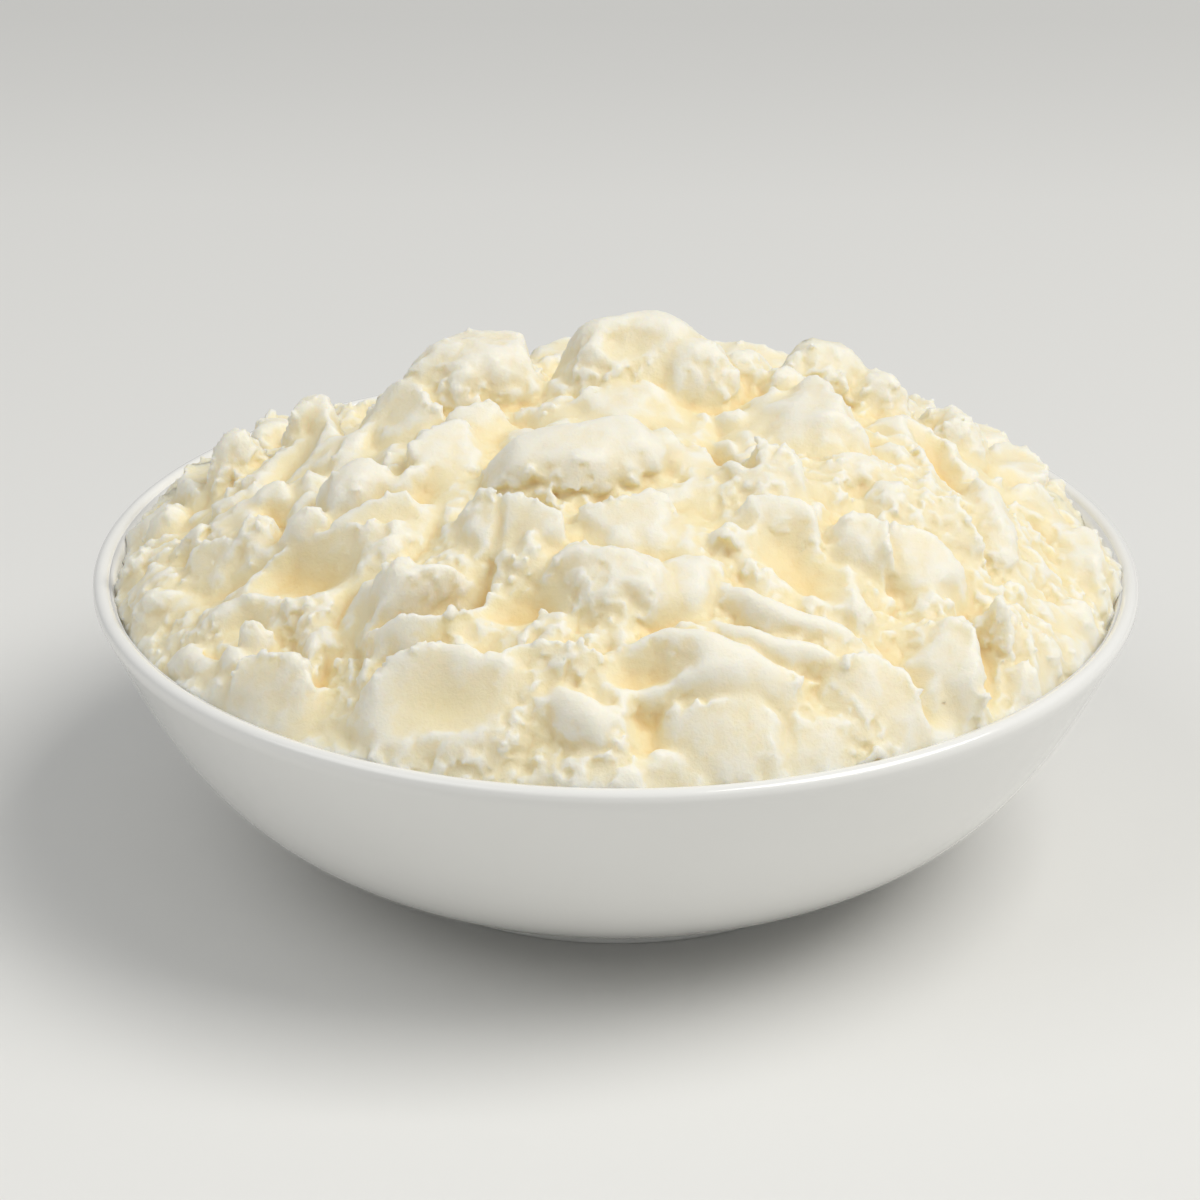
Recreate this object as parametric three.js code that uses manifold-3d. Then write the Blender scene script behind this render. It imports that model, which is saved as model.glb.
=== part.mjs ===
// A heaped side of mashed potato in its round white bowl.
// Millimetres, +Z up. Origin: centre of the foot ring, on the table.
import * as THREE from 'three';
import { mergeVertices } from 'three/addons/utils/BufferGeometryUtils.js';
import Module from 'manifold-3d';

const wasm = await Module();
wasm.setup();

// ---------- driving dimensions ----------
const lipRadius = 105; // widest radius of the bowl, at the lip
const lipHeight = 57.3; // height where the lip starts to round over
const lipCrown = 1.5; // how far the rounded lip rises above that
const wallAtLip = 3.8; // thickness of the wall under the lip
const wallAtFoot = 5.6; // thickness of the wall above the foot
const footRadius = 52.5; // outer radius of the foot ring
const footHeight = 2.7; // how far the foot ring stands below the body
const footWidth = 5; // width of the flat ring that rests on the table
const footRecess = 2.2; // depth of the recess inside the foot ring
const footSlope = 1.5; // how far the recess tapers in from the ring
const footLip = 0.8; // how far the wall starts outside the foot ring
const wallBow = [[83.2, 15.0], [91.4, 27.2]]; // control points of the outer wall, radius and height
const floorSink = 1; // how far the inside of the bowl dips at its middle
const bowlSides = 72; // flats round the bowl
const wallSteps = 7; // steps up the wall
const lipSteps = 4; // steps round the lip

const clearance = 0.35; // gap between the mash and the bowl
const floorClearance = 0.9; // the same at the middle of the floor, below the wall's first step
const mashLine = 55.5; // height up to which the mash follows the bowl's wall
const steepest = 1.6; // most that a slope may stretch the relief upwards
const fallPast = 1.05; // how far past its radius the smooth heap goes on falling
const roomCeiling = 140; // top of the room above the bowl, over any peak
const heapMargin = 3; // how far the block of the heap reaches past its radius
const heapCells = 74; // cells of the relief across the heap

// the smooth heap, fuller to the front and to +X, that the spoonfuls lie on
const heap = {
  radius: 99,
  edge: 54.5, // height where it meets the bowl
  rise: 37.5, // how far it climbs above its edge
  flatness: 2.8, // higher keeps the heap full out to its shoulders
  backFlatness: 2.2,
  backReach: 60, // how far back the change to the back's shape goes on
  backDrop: 0.08,
  lean: 0.1,
};

// the relief before any spoonful: swells of two sizes, and a fill that keeps it up to the bowl's wall
const swell = { height: 6, size: 15, smallHeight: 2.6, smallSize: 6.5, sink: 1.6 };
const rimFill = { height: 1, slope: 16, blend: 2 };

// how far outlines wander from their true ovals, broadly and closely, and how uneven the faces are
const wander = { broad: 2.6, broadSize: 14, close: 2.2, closeSize: 7, warp: 5, wave: 0.5, waveSize: 7 };
const fullSway = 10; // spoonfuls narrower than this wander less
const squareness = 2.2; // 2 makes an outline an oval, more makes it squarer

// ---------- smooth noise, the same for any run ----------
function random(i, j, seed) {
  const value = Math.sin(i * 127.1 + j * 311.7 + seed * 74.7) * 43758.5453;
  return value - Math.floor(value);
}

function ease(t) {
  return t * t * (3 - 2 * t);
}

// value noise from -1 to 1, with lumps about size across
function noise(x, y, size, seed) {
  const i = Math.floor(x / size);
  const j = Math.floor(y / size);
  const s = ease(x / size - i);
  const t = ease(y / size - j);
  const near = random(i, j, seed) * (1 - s) + random(i + 1, j, seed) * s;
  const far = random(i, j + 1, seed) * (1 - s) + random(i + 1, j + 1, seed) * s;
  return 2 * (near * (1 - t) + far * t) - 1;
}

function roughNoise(x, y, size, seed) {
  return (2 * noise(x, y, size, seed) + noise(x, y, size / 2, seed + 17)) / 3;
}

// rounded lumps with creases between them, from 0 to 1
function swells(x, y, size, seed) {
  return (2 * Math.abs(noise(x, y, size, seed)) + Math.abs(noise(x, y, size / 2, seed + 17))) / 3;
}

function clamp(value, low, high) {
  return Math.min(Math.max(value, low), high);
}

// the larger of two heights, with the crease between them filled over about width
function softMax(a, b, width) {
  const share = clamp(0.5 + 0.5 * (a - b) / width, 0, 1);
  return b + (a - b) * share + width * share * (1 - share);
}

// ---------- the heap before any spoonful ----------
function domeHeight(x, y) {
  const reach = Math.min(Math.hypot(x, y) / heap.radius, fallPast);
  const back = ease(clamp(y / heap.backReach, 0, 1));
  const flatness = heap.flatness + (heap.backFlatness - heap.flatness) * back;
  const lean = 1 + heap.lean * x / heap.radius - heap.backDrop * back;
  return heap.edge + heap.rise * (1 - reach ** flatness) * lean;
}

function domeSlope(x, y) {
  const step = 0.5;
  return [
    (domeHeight(x + step, y) - domeHeight(x - step, y)) / (2 * step),
    (domeHeight(x, y + step) - domeHeight(x, y - step)) / (2 * step),
  ];
}

// ---------- spoonfuls ----------
// Each has its place in the bowl (x, y), its half length and half width, and its turn in degrees.
// lift: height above the heap. tip: extra height at its crest side. tilt: the same at its far end.
// dish: rise of its rim over its middle. soft, crest: share of the half width that slopes, all round
// and on the crest side. fall: drop over that slope. bend: curve of its long axis.
// blend: fillet to what it lies on.
const habits = {
  slab: { lift: 3, tip: 4.5, tilt: 0, dish: 0, soft: 0.95, crest: 0.2, fall: 7, bend: 0, blend: 2.4 },
  lump: { lift: 5, tip: 0, tilt: 0, dish: -2, soft: 0.8, crest: 0.8, fall: 6, bend: 0, blend: 2 },
  hollow: { lift: 0, tip: 0, tilt: 0, dish: 0, soft: 0.9, crest: 0.9, fall: 6, bend: 0, blend: 2.2 },
};

function spoonful(kind, name, x, y, long, wide, turn, more = {}) {
  return { kind, name, x, y, long, wide, turn, ...habits[kind], ...more };
}

function slab(...values) {
  return spoonful('slab', ...values);
}

function lump(...values) {
  return spoonful('lump', ...values);
}

function hollow(...values) {
  return spoonful('hollow', ...values);
}

// two rows of slabs round the far side, uneven by a fixed draw
function farSlabs() {
  const list = [];
  for (let i = 0; i < 18; i += 1) {
    const angle = THREE.MathUtils.degToRad(5 + i * 10 + 5 * random(i, 11, 0));
    const radius = [80, 50][i % 2] + 8 * (random(i, 12, 0) - 0.5);
    const long = 12 + 6 * random(i, 13, 0);
    const wide = 9 + 4 * random(i, 14, 0);
    const turn = THREE.MathUtils.radToDeg(angle) - 90 + 70 * (random(i, 15, 0) - 0.5);
    list.push(slab(`far${i}`, radius * Math.cos(angle), radius * Math.sin(angle) + 4, long, wide, turn));
  }
  return list;
}

const spoonfuls = [
  ...farSlabs(),
  // skyline
  lump('backLeftLump', -75, 12, 10, 9, 0, { lift: 3, fall: 7 }),
  lump('leftSpike', -62, 16, 5.5, 7, 0, { lift: 8, soft: 0.6, fall: 8 }),
  hollow('leftDip', -53.5, 24, 5.5, 20, 0, { lift: -7 }),
  hollow('backLeftNotch', -54, 48, 10, 22, 0, { lift: -8 }),
  lump('leftPeak', -28.5, 12, 16, 12, 10, { lift: 13.5, tip: 1, dish: -4, soft: 0.6, fall: 8 }),
  hollow('peakNotch', -12, 29, 6, 18, 0, { lift: -5 }),
  lump('topPeak', 4, 11, 16.5, 12, 0, { lift: 16.5, tip: 1, dish: -4, soft: 0.7, fall: 7 }),
  hollow('topScoop', 2, 2, 9, 6, 0, { lift: 10, fall: 3 }),
  lump('topShoulder', 15, 5, 8, 9, 0, { lift: 12, fall: 8 }),
  hollow('topDip', 30, 30, 9, 14, 0, { lift: -2 }),
  lump('topCrumb1', 25, 12, 7, 7, 0, { lift: 8 }),
  lump('topCrumb2', 33, 8, 7, 6, 0, { lift: 7 }),
  lump('topRightLump', 41, 19, 12, 9, 0, { lift: 10.5, dish: -2, fall: 7 }),
  lump('backRightA', 52.5, 16, 9, 9, -30, { lift: 8 }),
  hollow('backRightDip', 61, 26, 4, 12, 0, { lift: -1 }),
  lump('backRightB', 68.5, 13, 9, 8, -40, { lift: 6.5 }),
  lump('backRightC', 87, 12, 9, 8, -50, { lift: 2.5 }),
  // left
  slab('facetB', -46, -2, 16, 12, -50, { lift: 4, tip: 6, dish: 0, crest: 0.3 }),
  hollow('leftValley', -66, -4, 15, 7, 65),
  lump('roundLump', -51, -27, 8.5, 7, 15, { lift: 8, soft: 0.6, fall: 6 }),
  lump('diagRoll', -40.5, -27, 10, 3.5, 40, { lift: 4.5, dish: -1 }),
  slab('leafA', -32.5, -23, 12, 8, 30, { lift: 3.5, tip: 4 }),
  slab('leafB', -27.5, -12, 9, 7, 20, { lift: 4, tip: 3.5 }),
  hollow('leafGroove', -26, -25, 8, 3, 75),
  lump('midTopA', -20, 8, 8, 7, 10, { lift: 6 }),
  lump('midTopB', -11, 5, 8, 6, 0, { lift: 5.5 }),
  slab('smoothDiag', 0, -9, 18, 10, 5, { lift: 4, tip: 3, crest: 0.3 }),
  lump('rimLumpA', -89, 4, 8, 6, 0, { lift: 4.5 }),
  lump('rimLumpB', -76.5, 10, 7.5, 6, 0, { lift: 9 }),
  lump('fieldA', -93.5, -11.5, 8, 5.5, 0, { lift: 5 }),
  lump('fieldB', -83, -17, 8, 5.5, 0, { lift: 5 }),
  lump('fieldC', -70.5, -27, 8, 5.5, 20, { lift: 5 }),
  lump('fieldD', -88.5, -31, 8, 5, 0, { lift: 4.5 }),
  lump('fieldE', -67.5, -15.5, 8, 5, 0, { lift: 5 }),
  slab('wedge', -79.5, -29.5, 11, 7, -15, { lift: 2.5, tip: 3 }),
  slab('slabD', -58, -46.5, 17, 12, -8, { lift: 3.5, tip: 6.5, crest: 0.15 }),
  hollow('scoopD', -59.5, -43, 14, 9, -10, { lift: -2, soft: 1, fall: 6, blend: 2.5 }),
  lump('knob', -67.5, -57.5, 4, 4.5, 0, { lift: 6 }),
  lump('ridgeKnob', -59.5, -33, 8, 4, 0, { lift: 6 }),
  slab('ridgeBack', -46, -38.5, 14, 4.5, 8, { lift: 3.5, tip: 2.5 }),
  // lower left
  lump('lumpE', -36, -65.5, 16, 11, 25, { lift: 8.5, dish: -3, soft: 0.6, fall: 7 }),
  lump('lumpE1', -40, -61, 7, 5.5, 10, { lift: 9 }),
  lump('lumpE2', -38.5, -68.5, 7, 5.5, 20, { lift: 9 }),
  lump('rollL1', -91, -29.5, 10, 5, -70, { lift: 3 }),
  lump('rollL2', -79, -53.5, 12, 6, -55, { lift: 4, dish: -2 }),
  lump('bitsL', -70.5, -60, 6, 4.5, 0, { lift: 5 }),
  slab('blockL', -64, -71, 13, 9, -20, { lift: 4, tip: 3 }),
  hollow('blockScoop', -60, -74.5, 7, 4, -25, { lift: 3.5, fall: 4 }),
  hollow('crevL', -54.5, -68, 6, 2.5, 70, { lift: -2 }),
  slab('chunkI', -32.5, -84.5, 22, 11, 4, { lift: 5.5, tip: 3, dish: 0, soft: 0.6, crest: 0.3, fall: 7 }),
  hollow('dishI', -31, -85.5, 13, 6, 0, { lift: 3.5, soft: 1, fall: 3, blend: 3 }),
  slab('bandI', -27.5, -91.5, 18, 4, 3, { lift: 2.5, tip: 1.5 }),
  // centre
  slab('tongueC', -7, -28.5, 21, 10, 3, {
    lift: 9, tip: 2, dish: -3, soft: 0.5, crest: 0.5, fall: 9, blend: 1.5,
  }),
  lump('tongueR', 8.5, -25, 9, 7, -20, { lift: 6 }),
  hollow('holeT', 12.5, -33.5, 2, 1.6, 0, { lift: -1, blend: 0.5 }),
  slab('facetMid', 4, -52, 13, 10, 10, { lift: 3.5, tip: 2 }),
  lump('underA', -16, -41, 9, 3.5, 0, { lift: 2.5 }),
  hollow('gapF', -14.5, -41.5, 5, 2.2, -30, { lift: -2 }),
  slab('ridgeF', -22, -55, 16, 10, -42, { lift: 3, tip: 6, crest: 0.15, fall: 8 }),
  lump('lumpF', -2, -65.5, 14, 8.5, -10, { lift: 7.5, tip: 1, dish: -1, soft: 0.5, fall: 7 }),
  hollow('caveF', 4.5, -71.5, 6, 3, -20, { lift: 3.5, blend: 3 }),
  hollow('dishG', -18.5, -68, 11, 7, 10, { lift: -1, soft: 1 }),
  slab('crestG', -12.5, -82.5, 17, 5, 3, { lift: 3.5, tip: 3.5 }),
  hollow('creaseE', -30, -65.5, 15, 3.4, 38, { lift: -4, bend: 0.03, blend: 1.5 }),
  lump('rollM', -6, -89.5, 13, 7, -28, { lift: 6, dish: -3 }),
  lump('foldH', 14.5, -82, 23, 9.5, -5, { lift: 8, dish: -2, soft: 0.7, bend: -0.008 }),
  hollow('pitH', 4.5, -83, 9.5, 5.5, -8, { lift: 2, soft: 1, fall: 5, blend: 3 }),
  slab('facetH', 27, -84.5, 11, 6, -12, { lift: 4, tip: 2 }),
  lump('blockF1', 8.5, -95, 9, 4.5, 0, { lift: 3 }),
  slab('blockF2', 22, -92, 11, 8, 3, { lift: 4, tip: 2.5, dish: -1, soft: 0.6 }),
  lump('lowCrumbs', -6, -95.5, 9, 3.5, 0, { lift: 2 }),
  lump('finger', 13, -64.5, 12, 9, 82, { lift: 4.5, dish: -2, blend: 3 }),
  slab('lobe', 30, -48, 12, 7, -15, { lift: 3.5, tip: 2.5 }),
  slab('lumpMR', 28, -36, 11, 9, -20, { lift: 5, tip: 3 }),
  hollow('crevMR', 20.5, -23.5, 10, 2.8, -60, { lift: -4 }),
  lump('crumbMR', 22.5, -51.5, 7, 5, 0, { lift: 4 }),
  // right
  slab('lumpK', 34.5, -8.5, 17, 12, -70, { lift: 6, tip: 4, dish: -1, crest: 0.3 }),
  lump('ragK', 48.5, -23.5, 13, 7, -20, { lift: 4 }),
  lump('slopeR', 61, -1, 13, 8, -30, { lift: 4.5 }),
  lump('rollR', 73, -22, 17, 8.5, -68, { lift: 5 }),
  hollow('scoopL', 64.5, -9.5, 13, 6, -62, { lift: -1.5, soft: 1 }),
  slab('ledge', 63, -35, 14, 5, -30, { lift: 3, tip: 3 }),
  slab('facetM', 91, -10, 18, 10, -78, { lift: 4, tip: 2.5, crest: 0.4 }),
  slab('facetJ', 30.5, -56.5, 13, 8, -15, { lift: 2.5, tip: 2.5, tilt: -2 }),
  hollow('hollowJ', 35.5, -55, 14, 8, -25, { lift: -2, soft: 1 }),
  lump('arcA', 31.5, -70.5, 20, 4.6, -20, { lift: 6, bend: 0.014, blend: 1 }),
  lump('arcB', 30.5, -77, 20, 4.4, -16, { lift: 6.5, bend: 0.014, blend: 1 }),
  slab('ragChunk', 47, -48, 9, 6, -40, { lift: 4.5, tip: 2.5 }),
  slab('flatR', 57.5, -47.5, 14, 9, -22, { lift: 3, tip: 2.5 }),
  slab('slabN', 60, -67, 15, 9, -72, { lift: 5, tip: 4, crest: 0.3 }),
  slab('facetN', 47, -81, 15, 9.5, -8, { lift: 4.5, tip: 3.5, dish: -1, soft: 0.6 }),
  lump('lumpN', 54.5, -78.5, 8, 4.5, 10, { lift: 3 }),
  lump('flake', 72, -53, 6, 2.2, -60, { lift: 7, soft: 0.6, blend: 0.6 }),
  hollow('crevN', 69, -60.5, 9, 2.4, -70, { lift: -3 }),
  lump('lumpR1', 90, -32.5, 8, 6, -40, { lift: 3.5 }),
  lump('lumpR2', 95, -9, 7, 5, 0, { lift: 3.5 }),
  lump('lumpR3', 82, -49, 7, 5, -30, { lift: 3.5 }),
  slab('frontR', 42.5, -85.5, 11, 3.5, 5, { lift: 1.5, tip: 1.5 }),
];

// Each spoonful lies on the heap's own slope at its place.
function seat(item) {
  const [slopeX, slopeY] = domeSlope(item.x, item.y);
  const out = new THREE.Vector3(-slopeX, -slopeY, 1).normalize();
  const turn = THREE.MathUtils.degToRad(item.turn);
  const along = new THREE.Vector3(Math.cos(turn), Math.sin(turn), 0);
  along.addScaledVector(out, -along.dot(out)).normalize();
  const across = new THREE.Vector3().crossVectors(out, along);
  return { ...item, along, across, centre: new THREE.Vector3(item.x, item.y, domeHeight(item.x, item.y)) };
}

const seated = spoonfuls.map(seat);

// height that one spoonful gives the relief at a point of the heap
function press(item, height, point, drift) {
  const offset = point.clone().sub(item.centre);
  const sway = Math.min(1, item.wide / fullSway);
  const u = offset.dot(item.along) + sway * drift.x;
  const v = offset.dot(item.across) + sway * drift.y - item.bend * u * u;
  const spread = Math.abs(u / item.long) ** squareness + Math.abs(v / item.wide) ** squareness;
  const reach = spread ** (1 / squareness);
  const toCrest = ease(clamp(v / item.wide / Math.max(reach, 0.3), 0, 1));
  const soft = item.soft * (1 - toCrest) + item.crest * toCrest;
  const past = Math.max(reach - (1 - soft), 0) / soft;
  const tip = item.tip * clamp(v / item.wide, -1.4, 1.2);
  const tilt = item.tilt * clamp(u / item.long, -1.2, 1.2);
  const face = item.lift + tip + tilt + drift.wave;
  if (item.kind === 'hollow') {
    return -softMax(-height, -(face + item.fall * past * past), item.blend);
  }
  const top = face + item.dish * Math.min(reach, 1.2) ** 2 - item.fall * past * past;
  return softMax(height, top, item.blend);
}

function heapHeight(x, y) {
  const point = new THREE.Vector3(x, y, domeHeight(x, y));
  const driftX = roughNoise(x, y, wander.broadSize, 1);
  const driftY = roughNoise(x, y, wander.broadSize, 2);
  const warpedX = x + wander.warp * driftX;
  const warpedY = y + wander.warp * driftY;
  const drift = {
    x: wander.broad * driftX + wander.close * roughNoise(x, y, wander.closeSize, 4),
    y: wander.broad * driftY + wander.close * roughNoise(x, y, wander.closeSize, 5),
    wave: wander.wave * roughNoise(warpedX, warpedY, wander.waveSize, 41),
  };
  const large = swell.height * swells(warpedX, warpedY, swell.size, 31);
  const small = swell.smallHeight * swells(warpedX, warpedY, swell.smallSize, 37);
  let relief = large + small - swell.sink;
  for (const item of seated) {
    const near = Math.max(item.long, item.wide) * 1.9 + 6;
    if (Math.abs(x - item.x) < near && Math.abs(y - item.y) < near) {
      relief = press(item, relief, point, drift);
    }
  }
  const rim = rimFill.height - rimFill.slope * (1 - Math.hypot(x, y) / heap.radius);
  const [slopeX, slopeY] = domeSlope(x, y);
  return point.z + softMax(relief, rim, rimFill.blend) * Math.min(Math.hypot(slopeX, slopeY, 1), steepest);
}

// ---------- solids ----------
function toManifold(geometry) {
  const bare = geometry.clone();
  bare.deleteAttribute('normal');
  bare.deleteAttribute('uv');
  const merged = mergeVertices(bare, 1e-4);
  return new wasm.Manifold(new wasm.Mesh({
    numProp: 3,
    vertProperties: new Float32Array(merged.attributes.position.array),
    triVerts: new Uint32Array(merged.index.array),
  }));
}

function toGeometry(solid) {
  const mesh = solid.getMesh();
  const geometry = new THREE.BufferGeometry();
  geometry.setAttribute('position', new THREE.BufferAttribute(new Float32Array(mesh.vertProperties), 3));
  geometry.setIndex(new THREE.BufferAttribute(new Uint32Array(mesh.triVerts), 1));
  geometry.computeVertexNormals();
  return geometry;
}

// a round solid from a profile of radius and height, stood up on +Z
function turned(profile) {
  const points = profile.map(([radius, height]) => new THREE.Vector2(Math.max(radius, 0), height));
  return new THREE.LatheGeometry(points, bowlSides).rotateX(Math.PI / 2);
}

const outerWall = new THREE.CubicBezierCurve(
  new THREE.Vector2(footRadius + footLip, footHeight),
  new THREE.Vector2(...wallBow[0]),
  new THREE.Vector2(...wallBow[1]),
  new THREE.Vector2(lipRadius, lipHeight),
);

// the wall's profile moved in by its thickness and a gap, from the lip down
function innerWall(gap) {
  const points = [];
  for (let i = wallSteps; i >= 0; i -= 1) {
    const share = i / wallSteps;
    const point = outerWall.getPoint(share);
    const tangent = outerWall.getTangent(share);
    const inset = wallAtFoot + (wallAtLip - wallAtFoot) * share + gap;
    points.push([point.x - tangent.y * inset, point.y + tangent.x * inset]);
  }
  return points;
}

function makeBowl() {
  const inner = innerWall(0);
  const lipMiddle = [(lipRadius + inner[0][0]) / 2, (lipHeight + inner[0][1]) / 2];
  const lipHalf = (lipRadius - inner[0][0]) / 2;
  const profile = [
    [0, footRecess],
    [footRadius - footWidth - footSlope, footRecess],
    [footRadius - footWidth, 0],
    [footRadius, 0],
  ];
  for (let i = 0; i <= wallSteps; i += 1) {
    const point = outerWall.getPoint(i / wallSteps);
    profile.push([point.x, point.y]);
  }
  for (let i = 1; i < lipSteps; i += 1) {
    const angle = Math.PI * i / lipSteps;
    profile.push([lipMiddle[0] + lipHalf * Math.cos(angle), lipMiddle[1] + lipCrown * Math.sin(angle)]);
  }
  profile.push(...inner, [0, inner[wallSteps][1] - floorSink]);
  return turned(profile);
}

// everything inside the bowl's walls up to the mash line, and the room above them
function makeRoom() {
  const wall = innerWall(clearance);
  const below = wall.findIndex(([, height]) => height < mashLine);
  const [high, low] = [wall[below - 1], wall[below]];
  const share = (mashLine - low[1]) / (high[1] - low[1]);
  const brim = low[0] + share * (high[0] - low[0]);
  const bottom = wall[wallSteps][1] - floorClearance;
  const insideBowl = [[0, bottom], ...wall.slice(below).reverse(), [brim, mashLine]];
  return turned([...insideBowl, [brim, roomCeiling], [0, roomCeiling]]);
}

function makeHeapBlock() {
  const width = 2 * (heap.radius + heapMargin);
  const block = new THREE.BoxGeometry(width, width, 1, heapCells, heapCells, 1);
  const position = block.attributes.position;
  for (let i = 0; i < position.count; i += 1) {
    if (position.getZ(i) > 0) {
      position.setZ(i, heapHeight(position.getX(i), position.getY(i)));
    } else {
      position.setZ(i, -1);
    }
  }
  return block;
}

function makeMash() {
  return toGeometry(toManifold(makeHeapBlock()).intersect(toManifold(makeRoom())));
}

// ---------- the scene graph ----------
const porcelain = new THREE.MeshStandardMaterial({ color: 0xeceae4, roughness: 0.25, metalness: 0 });
const potato = new THREE.MeshStandardMaterial({ color: 0xf2e8c8, roughness: 0.7, metalness: 0 });

const part = new THREE.Group();

const bowl = new THREE.Mesh(makeBowl(), porcelain);
bowl.name = 'bowl';
part.add(bowl);

const mash = new THREE.Mesh(makeMash(), potato);
mash.name = 'mash';
part.add(mash);

export default part;
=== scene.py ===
import math

import bmesh
import bpy
import numpy as np
from mathutils import Matrix, Vector


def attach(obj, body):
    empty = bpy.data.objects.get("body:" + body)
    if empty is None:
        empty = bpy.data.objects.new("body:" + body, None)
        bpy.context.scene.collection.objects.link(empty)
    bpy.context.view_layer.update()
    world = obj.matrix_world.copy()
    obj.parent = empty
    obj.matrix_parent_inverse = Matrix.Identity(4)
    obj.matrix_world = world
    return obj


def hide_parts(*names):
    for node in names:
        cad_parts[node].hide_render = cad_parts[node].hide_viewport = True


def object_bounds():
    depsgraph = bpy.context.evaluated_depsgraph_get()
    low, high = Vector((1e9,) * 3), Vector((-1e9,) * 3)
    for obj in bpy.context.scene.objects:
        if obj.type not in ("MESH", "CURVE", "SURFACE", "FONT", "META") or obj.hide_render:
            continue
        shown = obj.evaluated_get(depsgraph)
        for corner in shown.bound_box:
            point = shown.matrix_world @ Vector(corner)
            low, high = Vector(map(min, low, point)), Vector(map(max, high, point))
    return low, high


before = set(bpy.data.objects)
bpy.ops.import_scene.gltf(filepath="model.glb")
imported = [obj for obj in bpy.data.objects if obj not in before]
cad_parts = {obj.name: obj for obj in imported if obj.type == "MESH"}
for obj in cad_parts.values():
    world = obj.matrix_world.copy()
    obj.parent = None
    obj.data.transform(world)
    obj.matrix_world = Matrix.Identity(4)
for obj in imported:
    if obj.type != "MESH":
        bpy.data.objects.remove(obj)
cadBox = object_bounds()
print("frame loaded, box", [round(v, 4) for corner in cadBox for v in corner])

scene = bpy.context.scene
mm = 0.001
mergeDistance = 1e-7


def addObject(name, mesh):
    piece = bpy.data.objects.new(name, mesh)
    scene.collection.objects.link(piece)
    return piece


def finishBuild(build, name):
    mesh = bpy.data.meshes.new(name)
    build.to_mesh(mesh)
    build.free()
    return mesh


def readCoords(mesh):
    coords = np.empty(len(mesh.vertices) * 3)
    mesh.vertices.foreach_get("co", coords)
    return coords.reshape(-1, 3)


def writeCoords(mesh, coords):
    mesh.vertices.foreach_set("co", coords.astype(np.float32).ravel())
    mesh.update()


def readNormals(mesh):
    normals = np.empty(len(mesh.vertices) * 3, dtype=np.float32)
    mesh.vertex_normals.foreach_get("vector", normals)
    return normals.reshape(-1, 3).astype(float)


def writeLayer(mesh, name, values):
    layer = mesh.attributes.get(name) or mesh.attributes.new(name, "FLOAT", "POINT")
    layer.data.foreach_set("value", values.astype(np.float32))


def readLayer(mesh, name):
    values = np.empty(len(mesh.vertices), dtype=np.float32)
    mesh.attributes[name].data.foreach_get("value", values)
    return values.astype(float)


def applyModifiers(piece):
    graph = bpy.context.evaluated_depsgraph_get()
    finished = bpy.data.meshes.new_from_object(piece.evaluated_get(graph))
    old = piece.data
    piece.modifiers.clear()
    piece.data = finished
    bpy.data.meshes.remove(old)


def shadeSmooth(mesh):
    mesh.polygons.foreach_set("use_smooth", [True] * len(mesh.polygons))
    mesh.update()


cameraSetup = {  # looks along +Y and down on the heap
    "lens": 133.27,  # millimetres, as the sensor is
    "sensor": 36,
    "near": 0.05,  # metres from here on
    "far": 30,
    "distance": 0.900,
    "target": (-0.00312, 0.0, 0.05065),
    "elevation": 24.19,  # degrees above the table
    "roll": 0.28,
}


def makeCamera(setup):
    camera = bpy.data.cameras.new("camera")
    camera.lens = setup["lens"]
    camera.sensor_width = setup["sensor"]
    camera.clip_start = setup["near"]
    camera.clip_end = setup["far"]
    holder = addObject("camera", camera)
    elevation, roll = math.radians(setup["elevation"]), math.radians(setup["roll"])
    back = Vector((0, -math.cos(elevation), math.sin(elevation)))
    holder.location = Vector(setup["target"]) + back * setup["distance"]
    tilt = math.radians(90 - setup["elevation"])
    turn = Matrix.Rotation(tilt, 3, "X") @ Matrix.Rotation(roll, 3, "Z")
    holder.rotation_euler = turn.to_euler()
    scene.camera = holder


makeCamera(cameraSetup)


# the bowl, turned round its own axis
bowlShape = {  # millimetres
    "lipRadius": 105.0,
    "lipHeight": 57.3,
    "lipCrown": 1.5,
    "wallAtLip": 3.8,
    "wallAtFoot": 5.6,
    "bow": ((83.2, 15.0), (91.4, 27.2)),  # pulls the outer wall out between its foot and its lip
    "footRadius": 52.5,
    "footHeight": 2.7,
    "footWidth": 5.0,
    "footLip": 0.8,  # how far the wall starts outside the foot ring
    "footRecess": 2.2,
    "recessEdge": 2.6,  # the recess ends this far inside the ring
    "ringInside": ((-1.2, 1.5), (0, 0.25), (0.5, 0)),  # outwards from the ring's inner edge, and height
    "ringOutside": ((-0.6, 0), (-0.15, 0.2), (0, 0.7), (0.1, 1.8), (0.35, 2.4)),  # from its outer edge
    "floorDip": ((8, 0.7), (24, 1.0)),  # inwards from the wall, and how much lower
    "wallSteps": 40,
    "lipSteps": 12,
    "turnSteps": 192,
}


def bezier(share, ends):
    a, b, c, d = [Vector(p) for p in ends]
    keep = 1 - share
    point = a * keep**3 + b * 3 * share * keep**2 + c * 3 * share**2 * keep + d * share**3
    slope = (b - a) * 3 * keep**2 + (c - b) * 6 * share * keep + (d - c) * 3 * share**2
    return point, slope.normalized()


def wallProfile(shape, gap):
    start = (shape["footRadius"] + shape["footLip"], shape["footHeight"])
    ends = (start, *shape["bow"], (shape["lipRadius"], shape["lipHeight"]))
    outer, inner = [], []
    for i in range(shape["wallSteps"] + 1):
        share = i / shape["wallSteps"]
        point, slope = bezier(share, ends)
        inset = shape["wallAtFoot"] + (shape["wallAtLip"] - shape["wallAtFoot"]) * share + gap
        outer.append((point.x, point.y))
        inner.append((point.x - slope.y * inset, point.y + slope.x * inset))
    return outer, inner


def innerWall(gap):
    return wallProfile(bowlShape, gap)[1]


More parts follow.
